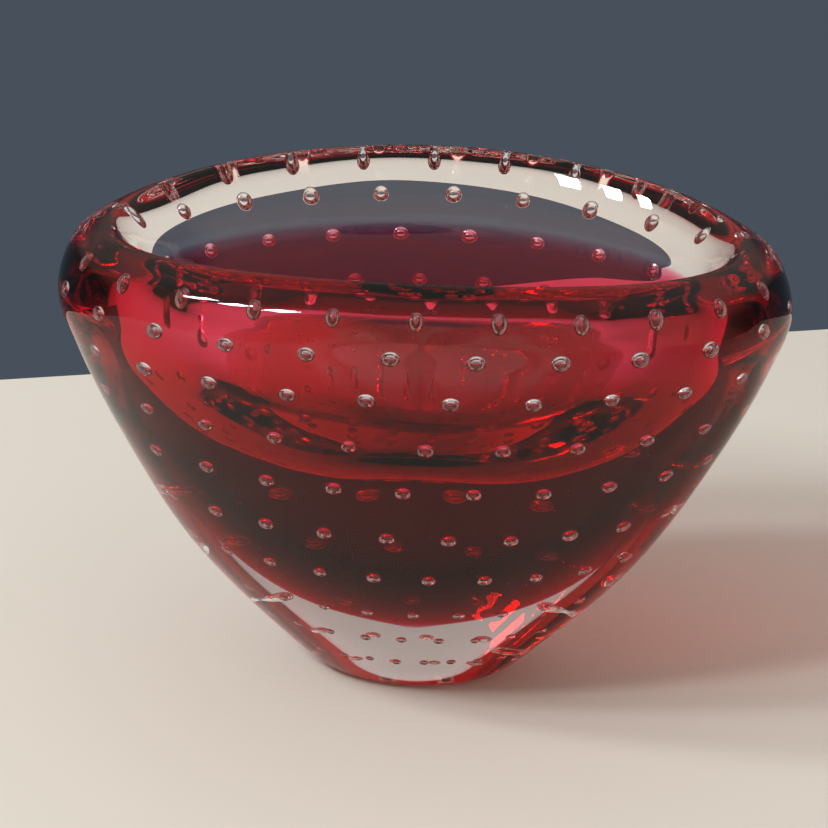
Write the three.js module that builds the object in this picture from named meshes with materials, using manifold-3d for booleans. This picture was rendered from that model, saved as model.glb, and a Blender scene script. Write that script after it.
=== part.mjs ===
// A heavy oval bowl of cased art glass: an open cavity, a clear lining, a ruby layer that fades out below
// the rim, and a clear gather pricked with a grid of air bubbles under the outer casing.
// Millimetres, +Z up, long axis on X. The origin is the middle of the flat ground foot.
import * as THREE from "three";
import { mergeVertices } from "three/addons/utils/BufferGeometryUtils.js";
import Module from "manifold-3d";

// ---- Driving dimensions ----

// Half-length and height of the outer face along the long axis, from the axis up over the rounded shoulder.
// The first point is where the belly would close under the bowl, and the second is the edge of the foot.
const OUTSIDE = [[0, -7], [17.5, 0], [28, 9], [45, 28], [58, 50], [67, 70], [70, 80.5], [67.5, 89.5]];
// The cavity's face at the same stations, from its lowest point up to the lip.
const CAVITY = [[0, 52], [14, 52.6], [24.5, 55], [33.5, 59], [41.5, 66], [48.2, 75], [51, 81.5], [53.8, 88]];
// The top of the rim between the two, from the shoulder to the crest.
const RIM = [[64.6, 92.3], [59.4, 94]];
const RIM_HEIGHT = 94;
const RIM_END_DROP = 4; // how much lower the rim is at the two ends than at the middle of its sides
const DEPTH_RATIO = { outside: 0.715, rim: 0.69, cavity: 0.685 }; // half-depth over half-length

// How far the skins between the layers lie inside the outer face at each station.
const BUBBLE_SKIN = [11, 6, 4.2, 3.8, 3.7, 3.6, 3.6, 3.2];
const RUBY_OUTER_SKIN = [26, 23.5, 21, 17.5, 12, 7.5, 6.2, 5.6];
const RUBY_INNER_SKIN = [38, 35.5, 33, 27, 18.5, 12.2, 10, 7.8];
const RUBY_EDGE = 0.6; // thickness left between the ruby's two skins at its faded top edge
const LAYER_GAP = 0.3; // clearance between two fused layers

const BUBBLE_ROW_HEIGHTS = [9, 16, 23.5, 33, 43, 54, 64, 74, 82, 88.5];
const BUBBLES_PER_ROW = 24;
const BUBBLE_ROW_LEAN = 0.28; // sideways step from one row to the next, as a share of the spacing
const BUBBLE_GRID_TURN = 0.55; // where the lowest row starts, as a share of the spacing
const BUBBLE_RADIUS = { foot: 0.9, side: 1.6 }; // small near the foot, full size from mid-height up
const FULL_BUBBLE_HEIGHT = 47;

const STATIONS_PER_SPAN = 2; // stations made between two of the points above
const AROUND = 48; // facets round the bowl
const OVAL_SEARCH_STEPS = 200; // how finely the bubble skin is searched for a row's height

// ---- Shape helpers ----

// A point of a skin's profile is (half-length, half-depth, height).
function profilePoint([reach, height], depthRatio) {
  return new THREE.Vector3(reach, reach * depthRatio, height);
}

const outsidePoints = OUTSIDE.map((point) => profilePoint(point, DEPTH_RATIO.outside));
const cavityPoints = CAVITY.map((point) => profilePoint(point, DEPTH_RATIO.cavity));
const rimPoints = RIM.map((point) => profilePoint(point, DEPTH_RATIO.rim));

function smooth(points) {
  return new THREE.CatmullRomCurve3(points, false, "centripetal");
}

// One smooth outline runs up the outside, over the rim and down the cavity.
const outline = [...outsidePoints, ...rimPoints, ...cavityPoints.toReversed()];
const LAST_STATION = (OUTSIDE.length - 1) * STATIONS_PER_SPAN;
const outlineStations = smooth(outline).getPoints((outline.length - 1) * STATIONS_PER_SPAN);
const outsideStations = outlineStations.slice(0, LAST_STATION + 1);
const rimStations = outlineStations.slice(LAST_STATION + 1, -LAST_STATION - 1);
const cavityStations = outlineStations.slice(-LAST_STATION - 1).toReversed();
const RUBY_TOP_STATION = LAST_STATION - STATIONS_PER_SPAN - 1; // the last station of the ruby's colour

// The smooth profile that lies the given depths inside the outer face.
function skinCurve(depths) {
  return smooth(outsidePoints.map((outside, i) => {
    const inward = cavityPoints[i].clone().sub(outside).setLength(depths[i]);
    return outside.clone().add(inward);
  }));
}

// A skin's stations from the axis up to the lip, moved by shift towards the cavity.
function skin(depths, shift) {
  return skinCurve(depths).getPoints(LAST_STATION).map((point, station) => {
    const inward = cavityStations[station].clone().sub(outsideStations[station]).normalize();
    return point.addScaledVector(inward, shift);
  });
}

// The rim sinks a little towards the two ends of the bowl, and the faces below follow it less and less.
function endDrop(height, cosine) {
  return RIM_END_DROP * (height / RIM_HEIGHT) ** 2 * cosine ** 2;
}

// Sweeps a profile round the oval. The profile runs from a point on the axis to another point on the axis,
// up the outer side of the piece and down its inner side.
function ovalSolid(profile) {
  const rings = profile.slice(1, -1);
  const positions = [];
  for (const ring of rings) {
    for (let k = 0; k < AROUND; k++) {
      const angle = (2 * Math.PI * k) / AROUND;
      const cosine = Math.cos(angle);
      positions.push(ring.x * cosine, ring.y * Math.sin(angle), ring.z - endDrop(ring.z, cosine));
    }
  }
  const firstPole = positions.length / 3;
  const lastPole = firstPole + 1;
  positions.push(0, 0, profile[0].z, 0, 0, profile.at(-1).z);

  const faces = [];
  const lastRing = (rings.length - 1) * AROUND;
  for (let k = 0; k < AROUND; k++) {
    const next = (k + 1) % AROUND;
    faces.push(firstPole, next, k);
    for (let ring = 0; ring < lastRing; ring += AROUND) {
      faces.push(ring + k, ring + next, ring + AROUND + next);
      faces.push(ring + k, ring + AROUND + next, ring + AROUND + k);
    }
    faces.push(lastPole, lastRing + k, lastRing + next);
  }
  return new THREE.BufferGeometry()
    .setAttribute("position", new THREE.Float32BufferAttribute(positions, 3))
    .setIndex(faces);
}

// A cup between an outer and an inner skin, both listed from the axis to the cup's top edge.
function cup(outerSkin, innerSkin) {
  return ovalSolid([...outerSkin, ...innerSkin.toReversed()]);
}

// Stops a skin just under the rim, a layer gap below the casing that wraps over it.
function underRim(stations) {
  const top = stations.at(-1).clone();
  top.z -= LAYER_GAP;
  return [...stations.slice(0, -1), top];
}

// ---- Layers of the wall ----

// The clear outer casing, with the ground foot below and the rim that wraps over every other layer.
function outerCasing() {
  const footCentre = new THREE.Vector3(0, 0, 0);
  const side = outsideStations.slice(STATIONS_PER_SPAN);
  const outerFace = [footCentre, ...side, ...rimStations, cavityStations.at(-1)];
  return cup(outerFace, skin(BUBBLE_SKIN, -LAYER_GAP / 2));
}

// The ruby's outer skin closes on its inner one at the faded top edge and follows it up to the lip.
function rubyOuterSkin(shift) {
  const inner = skin(RUBY_INNER_SKIN, shift - RUBY_EDGE);
  return skin(RUBY_OUTER_SKIN, shift).map((point, i) => (i < RUBY_TOP_STATION ? point : inner[i]));
}

// The clear gather under the casing, before its bubbles are pricked.
function smoothGather() {
  const outerFace = skin(BUBBLE_SKIN, LAYER_GAP / 2);
  const innerFace = rubyOuterSkin(-LAYER_GAP / 2);
  return cup(underRim(outerFace), underRim(innerFace));
}

// The ruby layer, a thin cup whose colour stops a little below the lip.
function rubyLayer() {
  const outerFace = rubyOuterSkin(LAYER_GAP / 2);
  const innerFace = skin(RUBY_INNER_SKIN, -LAYER_GAP / 2);
  return cup(outerFace.slice(0, RUBY_TOP_STATION + 1), innerFace.slice(0, RUBY_TOP_STATION + 1));
}

// The clear lining, thick under the cavity, whose inner face is the cavity.
function innerLining() {
  const outerFace = skin(RUBY_INNER_SKIN, LAYER_GAP / 2);
  return cup(underRim(outerFace), underRim(cavityStations));
}

// ---- Bubbles ----

// The oval of the bubble skin at a height.
function bubbleOval(height) {
  const points = skinCurve(BUBBLE_SKIN).getPoints(OVAL_SEARCH_STEPS);
  const above = points.findIndex((point) => point.z > height);
  const share = (height - points[above - 1].z) / (points[above].z - points[above - 1].z);
  const ring = points[above - 1].clone().lerp(points[above], share);
  return new THREE.EllipseCurve(0, 0, ring.x, ring.y);
}

// One air bubble for every place in the grid, half sunk in the gather's outer face.
function bubbleGrid() {
  return BUBBLE_ROW_HEIGHTS.flatMap((height, row) => {
    const oval = bubbleOval(height);
    const size = THREE.MathUtils.smoothstep(height, BUBBLE_ROW_HEIGHTS[0], FULL_BUBBLE_HEIGHT);
    const radius = THREE.MathUtils.lerp(BUBBLE_RADIUS.foot, BUBBLE_RADIUS.side, size);
    return Array.from({ length: BUBBLES_PER_ROW }, (_, k) => {
      const share = (k + BUBBLE_GRID_TURN + row * BUBBLE_ROW_LEAN) / BUBBLES_PER_ROW;
      const place = oval.getPointAt(share % 1);
      const lowered = height - endDrop(height, place.x / oval.xRadius);
      return new THREE.IcosahedronGeometry(radius).translate(place.x, place.y, lowered);
    });
  });
}

const wasm = await Module();
wasm.setup();

function toManifold(geometry) {
  const bare = geometry.clone();
  bare.deleteAttribute("normal");
  bare.deleteAttribute("uv");
  const merged = mergeVertices(bare);
  return new wasm.Manifold(new wasm.Mesh({
    numProp: 3,
    vertProperties: new Float32Array(merged.attributes.position.array),
    triVerts: new Uint32Array(merged.index.array),
  }));
}

function toGeometry(solid) {
  const mesh = solid.getMesh();
  return new THREE.BufferGeometry()
    .setAttribute("position", new THREE.BufferAttribute(mesh.vertProperties, 3))
    .setIndex(new THREE.BufferAttribute(mesh.triVerts, 1));
}

// The gather with a dimple for the inner half of every bubble.
function bubbleGather() {
  const bubbles = wasm.Manifold.union(bubbleGrid().map(toManifold));
  return toGeometry(toManifold(smoothGather()).subtract(bubbles));
}

// ---- Assembly ----

const clearGlass = { color: 0xe6e8ea, roughness: 0.03, metalness: 0, transparent: true, opacity: 0.3 };
const rubyGlass = { color: 0x8c1626, roughness: 0.03, metalness: 0, transparent: true, opacity: 0.6 };

function namedMesh(name, geometry, look) {
  geometry.computeVertexNormals();
  const mesh = new THREE.Mesh(geometry, new THREE.MeshStandardMaterial(look));
  mesh.name = name;
  return mesh;
}

const bowl = new THREE.Group();
bowl.add(
  namedMesh("inner_lining", innerLining(), clearGlass),
  namedMesh("ruby_layer", rubyLayer(), rubyGlass),
  namedMesh("bubble_gather", bubbleGather(), clearGlass),
  namedMesh("outer_casing", outerCasing(), clearGlass),
);

export default bowl;
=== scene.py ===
"""A heavy oval bowl of cased ruby glass with a grid of trapped air bubbles, on a plain pale studio floor."""

import math

import bmesh
import bpy
import numpy as np
from mathutils import Matrix, Vector


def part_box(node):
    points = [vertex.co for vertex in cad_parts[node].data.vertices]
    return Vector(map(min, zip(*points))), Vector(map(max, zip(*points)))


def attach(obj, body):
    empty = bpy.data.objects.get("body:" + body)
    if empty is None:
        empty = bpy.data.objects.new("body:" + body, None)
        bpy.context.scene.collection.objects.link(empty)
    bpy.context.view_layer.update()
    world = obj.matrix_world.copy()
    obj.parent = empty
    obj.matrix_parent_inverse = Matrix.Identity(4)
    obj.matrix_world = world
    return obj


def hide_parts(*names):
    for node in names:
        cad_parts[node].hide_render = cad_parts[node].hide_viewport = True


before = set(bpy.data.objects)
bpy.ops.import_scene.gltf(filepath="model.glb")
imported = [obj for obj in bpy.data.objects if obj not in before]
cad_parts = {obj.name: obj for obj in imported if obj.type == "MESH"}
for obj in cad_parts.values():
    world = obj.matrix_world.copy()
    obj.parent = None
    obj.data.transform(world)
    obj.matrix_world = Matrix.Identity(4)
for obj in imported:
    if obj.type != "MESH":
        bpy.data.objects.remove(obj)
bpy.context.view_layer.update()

MM = 0.001
rng = np.random.default_rng(7)

# ---- Driving dimensions of the bowl, in metres ----

HALF_LENGTH, HALF_DEPTH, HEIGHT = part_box("outer_casing")[1]

# Half-length and height of the outer face at stations from the axis up over the rounded shoulder. The first
# point is where the belly would close under the bowl, and the second is the edge of the foot.
OUTSIDE = MM * np.array(
    [[0, -7], [17.5, 0], [28, 9], [45, 28], [58, 50], [67, 70], [70, 80.5], [67.5, 89.5]]
)
# The cavity's face at the same stations, from its lowest point up to the lip.
CAVITY = MM * np.array(
    [[0, 52], [14, 52.6], [24.5, 55], [33.5, 59], [41.5, 66], [48.2, 75], [51, 81.5], [53.8, 88]]
)
# The top of the rim between the two, from the shoulder to the crest.
RIM = MM * np.array([[64.6, 92.3], [59.4, 94]])
OUTSIDE_DEPTH_RATIO = HALF_DEPTH / HALF_LENGTH
RIM_DEPTH_RATIO = 0.69
CAVITY_DEPTH_RATIO = 0.685
RIM_END_DROP = 4 * MM  # how much lower the rim is at the two ends than at the middle of its sides
FOOT_BEVEL = 1.2 * MM
FOOT_RINGS = (0.5, 0.9, 0.99, 1)  # rings across the flat of the foot, as shares of its half-length
GLASS_UNEVENNESS = 0.004  # of hand-worked glass, as a share of the distance from the axis
FINE_WAVE_SHARE = 0.5  # how strong the finer wave of that unevenness is beside the broad one

# How far the skins between the layers lie inside the outer face at each station.
BUBBLE_SKIN = MM * np.array([11, 6, 4.2, 3.8, 3.7, 3.6, 3.6, 3.2])
RUBY_OUTER_SKIN = MM * np.array([26, 23.5, 21, 17.5, 12, 7.5, 6.2, 5.6])
RUBY_INNER_SKIN = MM * np.array([38, 35.5, 33, 27, 18.5, 12.2, 10, 7.8])
RUBY_FADE = (5.2, 5.65)  # the stations, counted from the axis, between which the ruby thins out

BUBBLE_ROW_HEIGHTS = MM * np.array([9, 16, 23.5, 33, 43, 54, 64, 74, 82, 88.5])
BUBBLES_PER_ROW = 24
BUBBLE_ROW_LEAN = 0.28  # sideways step from one row to the next, as a share of the spacing
BUBBLE_GRID_TURN = 0.55  # where the lowest row starts, as a share of the spacing
BUBBLE_RADIUS = MM * np.array([0.9, 1.7])  # near the foot and from mid-height up
BUBBLE_GROWTH = (0.1, 0.5)  # shares of the bowl's height between which a bubble's radius grows
BUBBLE_SIZE_SPREAD = (0.92, 1.08)  # smallest and largest bubble of a row, over the row's radius
BUBBLE_SHAPE = np.array([1, 1, 0.78])  # half-size along x, y and z over the radius
TOP_BUBBLE_SHAPE = np.array([0.85, 0.85, 1.05])  # the top row's bubbles are slimmer and taller
BUBBLE_SCATTER = 0.12 * MM
BUBBLE_SEGMENTS = 16
BUBBLE_RINGS = 11

AROUND = 224  # facets round the bowl
PER_SPAN = 14  # steps of a smooth curve between two stations
GRID_PER_SPAN = 40  # the same for the skin that the rows of bubbles are placed on
OVAL_STEPS = 720  # steps round the oval of one row, for spacing its bubbles evenly


# ---- Profiles ----


def spline(points, per_span):
    """A smooth centripetal curve through points, with per_span steps between two of them."""
    ends = [2 * points[0] - points[1], *points, 2 * points[-1] - points[-2]]
    curve = []
    for p0, p1, p2, p3 in zip(ends, ends[1:], ends[2:], ends[3:]):
        spans = [math.sqrt(np.linalg.norm(b - a)) for a, b in ((p0, p1), (p1, p2), (p2, p3))]
        t0, t1, t2, t3 = np.cumsum([0, *spans])
        for t in np.linspace(t1, t2, per_span, endpoint=False):
            a1 = p0 + (p1 - p0) * (t - t0) / (t1 - t0)
            a2 = p1 + (p2 - p1) * (t - t1) / (t2 - t1)
            a3 = p2 + (p3 - p2) * (t - t2) / (t3 - t2)
            b1 = a1 + (a2 - a1) * (t - t0) / (t2 - t0)
            b2 = a2 + (a3 - a2) * (t - t1) / (t3 - t1)
            curve.append(b1 + (b2 - b1) * (t - t1) / (t2 - t1))
    curve.append(points[-1])
    return np.array(curve)


def profile(points, depth_ratio):
    """(half-length, half-depth, height) for each point of an outline."""
    reach, height = points.T
    return np.column_stack([reach, reach * depth_ratio, height])


outside_points = profile(OUTSIDE, OUTSIDE_DEPTH_RATIO)
cavity_points = profile(CAVITY, CAVITY_DEPTH_RATIO)
rim_points = profile(RIM, RIM_DEPTH_RATIO)
inwards = cavity_points - outside_points
inwards /= np.linalg.norm(inwards, axis=1)[:, None]


def skin(depths, per_span=PER_SPAN):
    """The profile that lies those depths inside the outer face."""
    return spline(outside_points + inwards * depths[:, None], per_span)


def end_drop(height, cosine):
    """How far the shape sinks towards the two ends of the bowl, less and less further down."""
    return RIM_END_DROP * (height / HEIGHT) ** 2 * cosine**2


# ---- Meshes ----


def wave(x, y, z):
    """The unevenness at a point, from -1 to 1: a broad wave and a finer one, in radians for each metre."""
    broad = np.sin(x * 95 + y * 60 + 1.3) * np.sin(z * 120 + x * 40)
    fine = np.sin(y * 190 - z * 150 + 0.7) * np.cos(x * 160 + 2.1)
    return (broad + FINE_WAVE_SHARE * fine) / (1 + FINE_WAVE_SHARE)


def oval_surface(rings, unevenness=0.0):
    """Vertices and faces of a closed skin swept round the oval, from one axis point to the other."""
    angle = np.linspace(0, 2 * math.pi, AROUND, endpoint=False)
    cosine, sine = np.cos(angle), np.sin(angle)
    body = rings[1:-1]
    x = body[:, :1] * cosine
    y = body[:, 1:2] * sine
    z = body[:, 2:3] - end_drop(body[:, 2:3], cosine[None, :])
    swell = 1 + unevenness * wave(x, y, z)
    points = np.stack([x * swell, y * swell, z], axis=-1).reshape(-1, 3)
    poles = np.array([[0, 0, rings[0][2]], [0, 0, rings[-1][2]]])
    first_pole = len(points)
    last_pole = first_pole + 1
    last_ring = (len(body) - 1) * AROUND
    faces = []
    for k in range(AROUND):
        n = (k + 1) % AROUND
        faces.append((first_pole, n, k))
        faces.append((last_pole, last_ring + k, last_ring + n))
        for ring in range(0, last_ring, AROUND):
            faces.append((ring + k, ring + n, ring + AROUND + n, ring + AROUND + k))
    return np.concatenate([points, poles]), faces


def mesh_object(name, parts, material):
    """One smooth mesh object from a list of (vertices, faces)."""
    vertices, faces, start = [], [], 0
    for part_vertices, part_faces in parts:
        vertices.extend(map(tuple, part_vertices))
        faces.extend(tuple(i + start for i in face) for face in part_faces)
        start += len(part_vertices)
    mesh = bpy.data.meshes.new(name)
    mesh.from_pydata(vertices, [], faces)
    mesh.polygons.foreach_set("use_smooth", [True] * len(faces))
    mesh.materials.append(material)
    obj = bpy.data.objects.new(name, mesh)
    bpy.context.collection.objects.link(obj)
    return obj


# ---- Materials ----

WHITE = (1, 1, 1, 1)
GLASS_IOR = 1.5
RUBY_IOR = 1.0  # the ruby only tints: the clear glass round it already bends the light
RUBY_COLOUR = (0.93, 0.06, 0.34, 1)
RUBY_DENSITY = 800


def principled(name, **inputs):
    """A material whose Principled BSDF has those inputs, named with _ for each space."""
    material = bpy.data.materials.new(name)
    material.use_nodes = True
    shader = material.node_tree.nodes["Principled BSDF"]
    for socket, value in inputs.items():
        shader.inputs[socket.replace("_", " ")].default_value = value
    return material


def clear_glass():
    """Colourless glass that bends light."""
    return principled(
        "clear_glass", Base_Color=WHITE, Roughness=0.0, IOR=GLASS_IOR, Transmission_Weight=1.0
    )


def ruby_glass():
    """Glass that is deeper red the thicker it is."""
    material = principled(
        "ruby_glass", Base_Color=WHITE, Roughness=0.0, IOR=RUBY_IOR, Transmission_Weight=1.0
    )
    tree = material.node_tree
    absorption = tree.nodes.new("ShaderNodeVolumeAbsorption")
    absorption.inputs["Color"].default_value = RUBY_COLOUR
    absorption.inputs["Density"].default_value = RUBY_DENSITY
    tree.links.new(absorption.outputs["Volume"], tree.nodes["Material Output"].inputs["Volume"])
    return material


# ---- The bowl ----


def glass_rings():
    """The body's outline from the middle of the foot, up and over the rim, down to the cavity's bottom."""
    outline = spline(np.concatenate([outside_points, rim_points, cavity_points[::-1]]), PER_SPAN)
    foot_edge = outline[PER_SPAN]
    flat = foot_edge * (1 - FOOT_BEVEL / foot_edge[0])
    foot = [np.zeros(3), *(flat * share for share in FOOT_RINGS)]
    return np.array([*foot, *outline[PER_SPAN + 2 :]])


def ruby_rings():
    """The ruby cup's outline: up its outer skin, which closes on the inner one as it fades, and back down."""
    outer, inner = skin(RUBY_OUTER_SKIN), skin(RUBY_INNER_SKIN)
    station = np.arange(len(outer)) / PER_SPAN
    start, end = RUBY_FADE
    faded = np.clip((station - start) / (end - start), 0, 1)[:, None]
    outer += (inner - outer) * faded
    shown = station <= end
    return np.array([*outer[shown], *inner[shown][::-1]])


def bubble(centre, half_size):
    """A small hollow, whose faces look inwards, away from the glass."""
    vertices = [(0, 0, 1)]
    for i in range(1, BUBBLE_RINGS):
        polar = math.pi * i / BUBBLE_RINGS
        width = math.sin(polar)
        for k in range(BUBBLE_SEGMENTS):
            angle = 2 * math.pi * k / BUBBLE_SEGMENTS
            vertices.append((width * math.cos(angle), width * math.sin(angle), math.cos(polar)))
    vertices.append((0, 0, -1))
    bottom = len(vertices) - 1
    last_ring = bottom - BUBBLE_SEGMENTS
    faces = []
    for k in range(BUBBLE_SEGMENTS):
        n = (k + 1) % BUBBLE_SEGMENTS
        faces.append((0, 1 + n, 1 + k))
        faces.append((bottom, last_ring + k, last_ring + n))
        for ring in range(1, last_ring, BUBBLE_SEGMENTS):
            above, below = ring, ring + BUBBLE_SEGMENTS
            faces.append((above + k, above + n, below + n, below + k))
    return np.array(vertices) * half_size + centre, faces


def row_oval(curve, height):
    """The half-length of a skin at a height, the points of its oval there, and the way round to each."""
    half_length, half_depth = (np.interp(height, curve[:, 2], curve[:, i]) for i in (0, 1))
    angle = np.linspace(0, 2 * math.pi, OVAL_STEPS + 1)
    oval = np.column_stack([half_length * np.cos(angle), half_depth * np.sin(angle)])
    walked = np.concatenate([[0], np.cumsum(np.linalg.norm(np.diff(oval, axis=0), axis=1))])
    return half_length, oval, walked


def bubble_grid():
    """Every bubble of the grid, a little below the outer face."""
    curve = skin(BUBBLE_SKIN, GRID_PER_SPAN)
    top_row = len(BUBBLE_ROW_HEIGHTS) - 1
    bubbles = []
    for row, height in enumerate(BUBBLE_ROW_HEIGHTS):
        half_length, oval, walked = row_oval(curve, height)
        row_radius = np.interp(height / HEIGHT, BUBBLE_GROWTH, BUBBLE_RADIUS)
        shape = TOP_BUBBLE_SHAPE if row == top_row else BUBBLE_SHAPE
        for k in range(BUBBLES_PER_ROW):
            share = ((k + BUBBLE_GRID_TURN + row * BUBBLE_ROW_LEAN) / BUBBLES_PER_ROW) % 1
            x, y = (np.interp(share * walked[-1], walked, oval[:, i]) for i in (0, 1))
            z = height - end_drop(height, x / half_length)
            half_size = row_radius * rng.uniform(*BUBBLE_SIZE_SPREAD) * shape
            centre = np.array([x, y, z]) + rng.normal(0, BUBBLE_SCATTER, 3)
            bubbles.append(bubble(centre, half_size))
    return bubbles


def build_bowl():
    """The clear body with its bubbles, and the ruby cup inside its wall."""
    glass = oval_surface(glass_rings(), unevenness=GLASS_UNEVENNESS)
    body = mesh_object("glass_body", [glass, *bubble_grid()], clear_glass())
    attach(body, "root")
    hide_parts("outer_casing", "bubble_gather", "inner_lining")
    ruby = mesh_object("ruby_cup", [oval_surface(ruby_rings())], ruby_glass())
    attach(ruby, "root")
    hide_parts("ruby_layer")


# ---- Studio ----

FLOOR_TURN = math.radians(17)
FLOOR_BACK = 0.165  # from the bowl's axis to the floor's back edge
FLOOR_FRONT = 1.2
FLOOR_HALF_WIDTH = 1.2
FLOOR_THICKNESS = 0.03
FLOOR_COLOUR = (0.57, 0.555, 0.51, 1)

# The room's colours change with the direction looked in, between two values of its y or z.
BACKDROP_COLOUR = (0.074, 0.091, 0.112, 1)
FRONT_COLOUR = (0.8, 0.6, 0.46, 1)
BACKDROP_FROM, BACKDROP_TO = -0.3, 0.3  # from the front of the room to the backdrop
GLOW_COLOUR = (0.32, 0.28, 0.255, 1)
GLOW_FROM, GLOW_TO = 0.1, 0.34  # from the backdrop up to the light wall over it
CEILING_COLOUR = (0.54, 0.515, 0.49, 1)
CEILING_FROM, CEILING_TO = 0.3, 0.75  # from the walls up to the ceiling's light
MIX_FIRST, MIX_SECOND, MIX_RESULT = 6, 7, 2  # where a Mix node keeps its colour sockets

SOFTBOX_DIRECTION = (-0.87, -0.5, 0.0)
SOFTBOX_TURNS = (-17, 0, 17)  # degrees round the bowl
SOFTBOX_REACH = 1.25
SOFTBOX_HEIGHT = 1.25
SOFTBOX_SIZE = (0.17, 0.3)
SOFTBOX_ENERGY = 8.5
SOFTBOX_AIM = Vector((0, 0, HEIGHT * 0.6))

CAMERA_AZIMUTH = math.radians(3)
CAMERA_ELEVATION = math.radians(22)
CAMERA_ROLL = math.radians(1.6)
CAMERA_TARGET = Vector((-0.0013, 0.0, 0.0526))
CAMERA_DISTANCE = 0.63
CAMERA_LENS = 141.4


def build_floor():
    """One plain pale slab, whose back edge lies a little behind the bowl."""
    bm = bmesh.new()
    bmesh.ops.create_cube(bm, size=1)
    size = (2 * FLOOR_HALF_WIDTH, FLOOR_BACK + FLOOR_FRONT, FLOOR_THICKNESS)
    bmesh.ops.scale(bm, vec=size, verts=bm.verts)
    centre = Vector((0, (FLOOR_BACK - FLOOR_FRONT) / 2, -FLOOR_THICKNESS / 2))
    bmesh.ops.translate(bm, vec=centre, verts=bm.verts)
    bmesh.ops.rotate(bm, matrix=Matrix.Rotation(FLOOR_TURN, 3, "Z"), verts=bm.verts)
    mesh = bpy.data.meshes.new("floor")
    bm.to_mesh(mesh)
    bm.free()
    mesh.materials.append(principled("floor", Base_Color=FLOOR_COLOUR, Roughness=0.6))
    floor = bpy.data.objects.new("floor", mesh)
    bpy.context.collection.objects.link(floor)


def map_range(tree, value, low, high):
    """A smooth step of a value, from 0 at low to 1 at high."""
    node = tree.nodes.new("ShaderNodeMapRange")
    node.interpolation_type = "SMOOTHSTEP"
    node.inputs["From Min"].default_value = low
    node.inputs["From Max"].default_value = high
    tree.links.new(value, node.inputs["Value"])
    return node.outputs["Result"]


def mix_colours(tree, factor, first, second):
    """A mix of two colours, each an output socket or plain numbers."""
    node = tree.nodes.new("ShaderNodeMix")
    node.data_type = "RGBA"
    tree.links.new(factor, node.inputs["Factor"])
    for index, colour in ((MIX_FIRST, first), (MIX_SECOND, second)):
        if isinstance(colour, tuple):
            node.inputs[index].default_value = colour
        else:
            tree.links.new(colour, node.inputs[index])
    return node.outputs[MIX_RESULT]


def build_world():
    """A slate backdrop and a light wall over it, a warm room on the viewer's side, and a soft ceiling."""
    world = bpy.data.worlds.new("studio")
    world.use_nodes = True
    tree = world.node_tree
    coordinates = tree.nodes.new("ShaderNodeTexCoord")
    split = tree.nodes.new("ShaderNodeSeparateXYZ")
    tree.links.new(coordinates.outputs["Generated"], split.inputs[0])
    behind = map_range(tree, split.outputs["Y"], BACKDROP_FROM, BACKDROP_TO)
    over_backdrop = map_range(tree, split.outputs["Z"], GLOW_FROM, GLOW_TO)
    back = mix_colours(tree, over_backdrop, BACKDROP_COLOUR, GLOW_COLOUR)
    sides = mix_colours(tree, behind, FRONT_COLOUR, back)
    above = map_range(tree, split.outputs["Z"], CEILING_FROM, CEILING_TO)
    colour = mix_colours(tree, above, sides, CEILING_COLOUR)
    tree.links.new(colour, tree.nodes["Background"].inputs["Color"])
    bpy.context.scene.world = world


def build_softboxes():
    """Three bright soft panes in a row, high on the viewer's left."""
    for turn in SOFTBOX_TURNS:
        direction = Matrix.Rotation(math.radians(turn), 3, "Z") @ Vector(SOFTBOX_DIRECTION).normalized()
        place = direction * SOFTBOX_REACH + Vector((0, 0, SOFTBOX_HEIGHT))
        light = bpy.data.lights.new("softbox", "AREA")
        light.shape = "RECTANGLE"
        light.size, light.size_y = SOFTBOX_SIZE
        light.energy = SOFTBOX_ENERGY
        obj = bpy.data.objects.new("softbox", light)
        obj.location = place
        obj.rotation_euler = (SOFTBOX_AIM - place).to_track_quat("-Z", "Y").to_euler()
        bpy.context.collection.objects.link(obj)


def build_camera():
    """A long lens that looks down on the bowl from the front, tilted a little."""
    sideways = math.sin(CAMERA_AZIMUTH) * math.cos(CAMERA_ELEVATION)
    forwards = -math.cos(CAMERA_AZIMUTH) * math.cos(CAMERA_ELEVATION)
    away = Vector((sideways, forwards, math.sin(CAMERA_ELEVATION)))
    data = bpy.data.cameras.new("camera")
    data.lens = CAMERA_LENS
    camera = bpy.data.objects.new("camera", data)
    camera.location = CAMERA_TARGET + away * CAMERA_DISTANCE
    level = (-away).to_track_quat("-Z", "Y").to_matrix()
    camera.rotation_euler = (level @ Matrix.Rotation(CAMERA_ROLL, 3, "Z")).to_euler()
    bpy.context.collection.objects.link(camera)
    bpy.context.scene.camera = camera


build_bowl()
build_floor()
build_world()
build_softboxes()
build_camera()

scene = bpy.context.scene
scene.view_settings.view_transform = "Standard"
scene.view_settings.look = "Medium High Contrast"
scene.cycles.max_bounces = 32
scene.cycles.transmission_bounces = 32
scene.cycles.glossy_bounces = 16
scene.cycles.diffuse_bounces = 4
